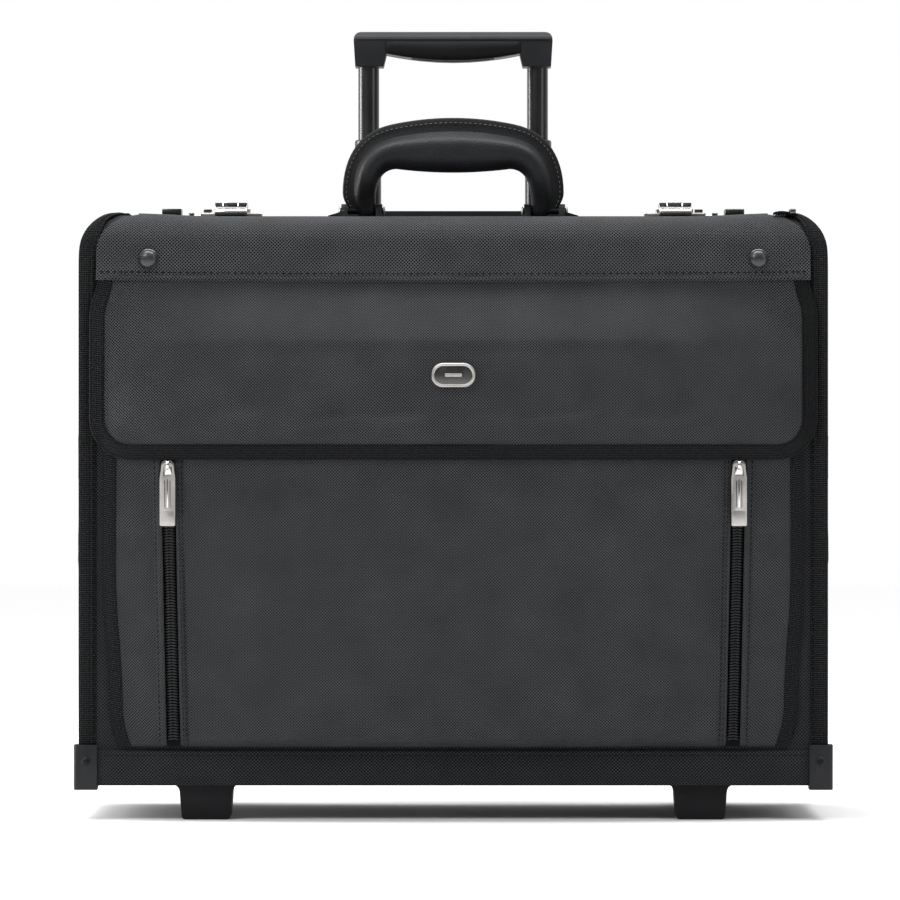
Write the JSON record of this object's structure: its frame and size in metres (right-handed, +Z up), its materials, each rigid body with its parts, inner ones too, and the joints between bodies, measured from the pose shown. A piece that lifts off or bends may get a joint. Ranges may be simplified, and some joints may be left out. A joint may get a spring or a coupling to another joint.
{
  "type": "pilot rolling flight case",
  "caption": "Soft-sided pilot flight case with telescopic trolley, rear wheels, two-leaf locking top, padded carry handle and zipped front organizer pocket with flap.",
  "frame": {"origin": "on the ground, under the centre of the overall bounding box, with the case standing upright", "axes": "+X to the right as seen from the front, +Y to the back, where the trolley is, +Z up"},
  "size_m": [0.463, 0.213, 0.493],
  "materials": {
    "front_panel": "charcoal black woven nylon, matte",
    "back_panel": "charcoal black woven nylon, matte",
    "side_panel_left": "charcoal black woven nylon, matte",
    "side_panel_right": "charcoal black woven nylon, matte",
    "bottom_panel": "charcoal black woven nylon, matte",
    "trolley_cover": "charcoal black woven nylon, matte",
    "organizer_panel": "charcoal black woven nylon, matte",
    "organizer_gusset_left": "charcoal black woven nylon, matte",
    "organizer_gusset_right": "charcoal black woven nylon, matte",
    "pocket_flap": "charcoal black woven nylon, matte",
    "front_leaf": "charcoal black woven nylon, matte",
    "rear_leaf": "charcoal black woven nylon, matte",
    "centre_spine": "charcoal black woven nylon, matte",
    "front_valance": "charcoal black woven nylon, matte",
    "base_skirt": "black ribbed webbing",
    "base_skirt_rear": "black ribbed webbing",
    "edge_binding_left": "black ribbed webbing",
    "edge_binding_right": "black ribbed webbing",
    "zip_tape_left": "black ribbed webbing",
    "zip_tape_right": "black ribbed webbing",
    "front_corner_guard_left": "moulded black plastic, satin",
    "front_corner_guard_right": "moulded black plastic, satin",
    "rear_corner_guard_left": "moulded black plastic, satin",
    "rear_corner_guard_right": "moulded black plastic, satin",
    "wheel_housing_left": "moulded black plastic, satin",
    "wheel_housing_right": "moulded black plastic, satin",
    "trolley_bezel": "moulded black plastic, satin",
    "trolley_grip": "moulded black plastic, satin",
    "release_trigger": "moulded black plastic, satin",
    "handle_bracket_left": "moulded black plastic, satin",
    "handle_bracket_right": "moulded black plastic, satin",
    "front_foot_left": "moulded black rubber",
    "front_foot_right": "moulded black rubber",
    "wheel_left": "black in-line wheel",
    "wheel_right": "black in-line wheel",
    "wheel_axle_left": "plain steel pin",
    "wheel_axle_right": "plain steel pin",
    "base_tube_left": "gloss black painted steel tube",
    "base_tube_right": "gloss black painted steel tube",
    "lower_tube_left": "gloss black painted steel tube",
    "lower_tube_right": "gloss black painted steel tube",
    "upper_tube_left": "gloss black painted steel tube",
    "upper_tube_right": "gloss black painted steel tube",
    "lock_body_left": "bright nickel plate",
    "lock_body_right": "bright nickel plate",
    "lock_hasp_left": "bright nickel plate",
    "lock_hasp_right": "bright nickel plate",
    "lock_slide_left": "pewter plate",
    "lock_slide_right": "pewter plate",
    "rear_catch_left": "pewter plate",
    "rear_catch_right": "pewter plate",
    "zip_slider_left": "pewter plate",
    "zip_slider_right": "pewter plate",
    "pull_tab_left": "pewter plate",
    "pull_tab_right": "pewter plate",
    "emblem_plate": "pewter plate",
    "snap_cap_left": "gloss black domed cap",
    "snap_cap_right": "gloss black domed cap",
    "carry_handle": "black grained leatherette"
  },
  "bodies": {
    "case": {"front_panel": "front_panel", "back_panel": "back_panel", "side_panel_left": "side_panel_left", "side_panel_right": "side_panel_right", "bottom_panel": "bottom_panel", "base_skirt": "base_skirt", "base_skirt_rear": "base_skirt_rear", "edge_binding_left": "edge_binding_left", "edge_binding_right": "edge_binding_right", "front_corner_guard_left": "front_corner_guard_left", "front_corner_guard_right": "front_corner_guard_right", "rear_corner_guard_left": "rear_corner_guard_left", "rear_corner_guard_right": "rear_corner_guard_right", "front_foot_left": "front_foot_left", "front_foot_right": "front_foot_right", "wheel_housing_left": "wheel_housing_left", "wheel_housing_right": "wheel_housing_right", "wheel_axle_left": "wheel_axle_left", "wheel_axle_right": "wheel_axle_right", "centre_spine": "centre_spine", "lock_body_left": "lock_body_left", "lock_body_right": "lock_body_right", "handle_bracket_left": "handle_bracket_left", "handle_bracket_right": "handle_bracket_right", "base_tube_left": "base_tube_left", "base_tube_right": "base_tube_right", "trolley_cover": "trolley_cover", "trolley_bezel": "trolley_bezel", "organizer_panel": "organizer_panel", "organizer_gusset_left": "organizer_gusset_left", "organizer_gusset_right": "organizer_gusset_right", "zip_tape_left": "zip_tape_left", "zip_tape_right": "zip_tape_right", "front_valance": "front_valance", "snap_cap_left": "snap_cap_left", "snap_cap_right": "snap_cap_right"},
    "wheel_left": {"wheel_left": "wheel_left"},
    "wheel_right": {"wheel_right": "wheel_right"},
    "front_leaf": {"front_leaf": "front_leaf"},
    "rear_leaf": {"rear_leaf": "rear_leaf"},
    "lock_hasp_left": {"lock_hasp_left": "lock_hasp_left"},
    "lock_hasp_right": {"lock_hasp_right": "lock_hasp_right"},
    "lock_slide_left": {"lock_slide_left": "lock_slide_left"},
    "lock_slide_right": {"lock_slide_right": "lock_slide_right"},
    "rear_catch_left": {"rear_catch_left": "rear_catch_left"},
    "rear_catch_right": {"rear_catch_right": "rear_catch_right"},
    "carry_handle": {"carry_handle": "carry_handle"},
    "trolley_lower_stage": {"lower_tube_left": "lower_tube_left", "lower_tube_right": "lower_tube_right"},
    "trolley_upper_stage": {"upper_tube_left": "upper_tube_left", "upper_tube_right": "upper_tube_right", "trolley_grip": "trolley_grip"},
    "release_trigger": {"release_trigger": "release_trigger"},
    "pocket_flap": {"pocket_flap": "pocket_flap", "emblem_plate": "emblem_plate"},
    "zip_slider_left": {"zip_slider_left": "zip_slider_left"},
    "zip_slider_right": {"zip_slider_right": "zip_slider_right"},
    "pull_tab_left": {"pull_tab_left": "pull_tab_left"},
    "pull_tab_right": {"pull_tab_right": "pull_tab_right"}
  },
  "joints": [
    {"name": "wheel_left_roll", "type": "hinge", "parent": "case", "child": "wheel_left", "pos_m": [-0.157, 0.078, 0.025], "axis": [1, 0, 0], "continuous": true},
    {"name": "wheel_right_roll", "type": "hinge", "parent": "case", "child": "wheel_right", "pos_m": [0.157, 0.078, 0.025], "axis": [1, 0, 0], "continuous": true},
    {"name": "front_leaf_hinge", "type": "hinge", "parent": "case", "child": "front_leaf", "pos_m": [0, -0.058, 0.3713], "axis": [1, 0, 0], "range_deg": [0, 170]},
    {"name": "rear_leaf_hinge", "type": "hinge", "parent": "case", "child": "rear_leaf", "pos_m": [0, 0.064, 0.3713], "axis": [-1, 0, 0], "range_deg": [0, 110]},
    {"name": "lock_hasp_left_hinge", "type": "hinge", "parent": "front_leaf", "child": "lock_hasp_left", "pos_m": [-0.138, -0.015, 0.3733], "axis": [1, 0, 0], "range_deg": [0, 110]},
    {"name": "lock_slide_left_press", "type": "slide", "parent": "case", "child": "lock_slide_left", "axis": [-1, 0, 0], "range_m": [0, 0.003], "stiffness_N_per_m": 200, "springref_m": -0.001},
    {"name": "rear_catch_left_turn", "type": "hinge", "parent": "rear_leaf", "child": "rear_catch_left", "pos_m": [-0.176, 0.023, 0.3745], "axis": [0, 0, -1], "range_deg": [0, 90]},
    {"name": "lock_hasp_right_hinge", "type": "hinge", "parent": "front_leaf", "child": "lock_hasp_right", "pos_m": [0.138, -0.015, 0.3733], "axis": [1, 0, 0], "range_deg": [0, 110]},
    {"name": "lock_slide_right_press", "type": "slide", "parent": "case", "child": "lock_slide_right", "axis": [1, 0, 0], "range_m": [0, 0.003], "stiffness_N_per_m": 200, "springref_m": -0.001},
    {"name": "rear_catch_right_turn", "type": "hinge", "parent": "rear_leaf", "child": "rear_catch_right", "pos_m": [0.176, 0.023, 0.3745], "axis": [0, 0, 1], "range_deg": [0, 90]},
    {"name": "carry_handle_fold", "type": "hinge", "parent": "case", "child": "carry_handle", "pos_m": [0, 0.003, 0.3748], "axis": [1, 0, 0], "range_deg": [-68, 68]},
    {"name": "trolley_lower_slide", "type": "slide", "parent": "case", "child": "trolley_lower_stage", "axis": [0, 0, 1], "range_m": [-0.038, 0.222]},
    {"name": "trolley_upper_slide", "type": "slide", "parent": "trolley_lower_stage", "child": "trolley_upper_stage", "axis": [0, 0, 1], "range_m": [-0.046, 0.23]},
    {"name": "release_trigger_press", "type": "slide", "parent": "trolley_upper_stage", "child": "release_trigger", "axis": [0, 0, 1], "range_m": [0, 0.004], "stiffness_N_per_m": 400, "springref_m": -0.002},
    {"name": "pocket_flap_hinge", "type": "hinge", "parent": "case", "child": "pocket_flap", "pos_m": [0, -0.0812, 0.3315], "axis": [-1, 0, 0], "range_deg": [0, 80]},
    {"name": "zip_slider_left_run", "type": "slide", "parent": "case", "child": "zip_slider_left", "axis": [0.0198, -0.0032, -0.9998], "range_m": [0, 0.154]},
    {"name": "pull_tab_left_swing", "type": "hinge", "parent": "zip_slider_left", "child": "pull_tab_left", "pos_m": [-0.1734, -0.09724, 0.2166], "axis": [-1, 0, 0], "range_deg": [0, 95]},
    {"name": "zip_slider_right_run", "type": "slide", "parent": "case", "child": "zip_slider_right", "axis": [-0.0198, -0.0032, -0.9998], "range_m": [0, 0.154]},
    {"name": "pull_tab_right_swing", "type": "hinge", "parent": "zip_slider_right", "child": "pull_tab_right", "pos_m": [0.1734, -0.09724, 0.2166], "axis": [-1, 0, 0], "range_deg": [0, 95]}
  ]
}
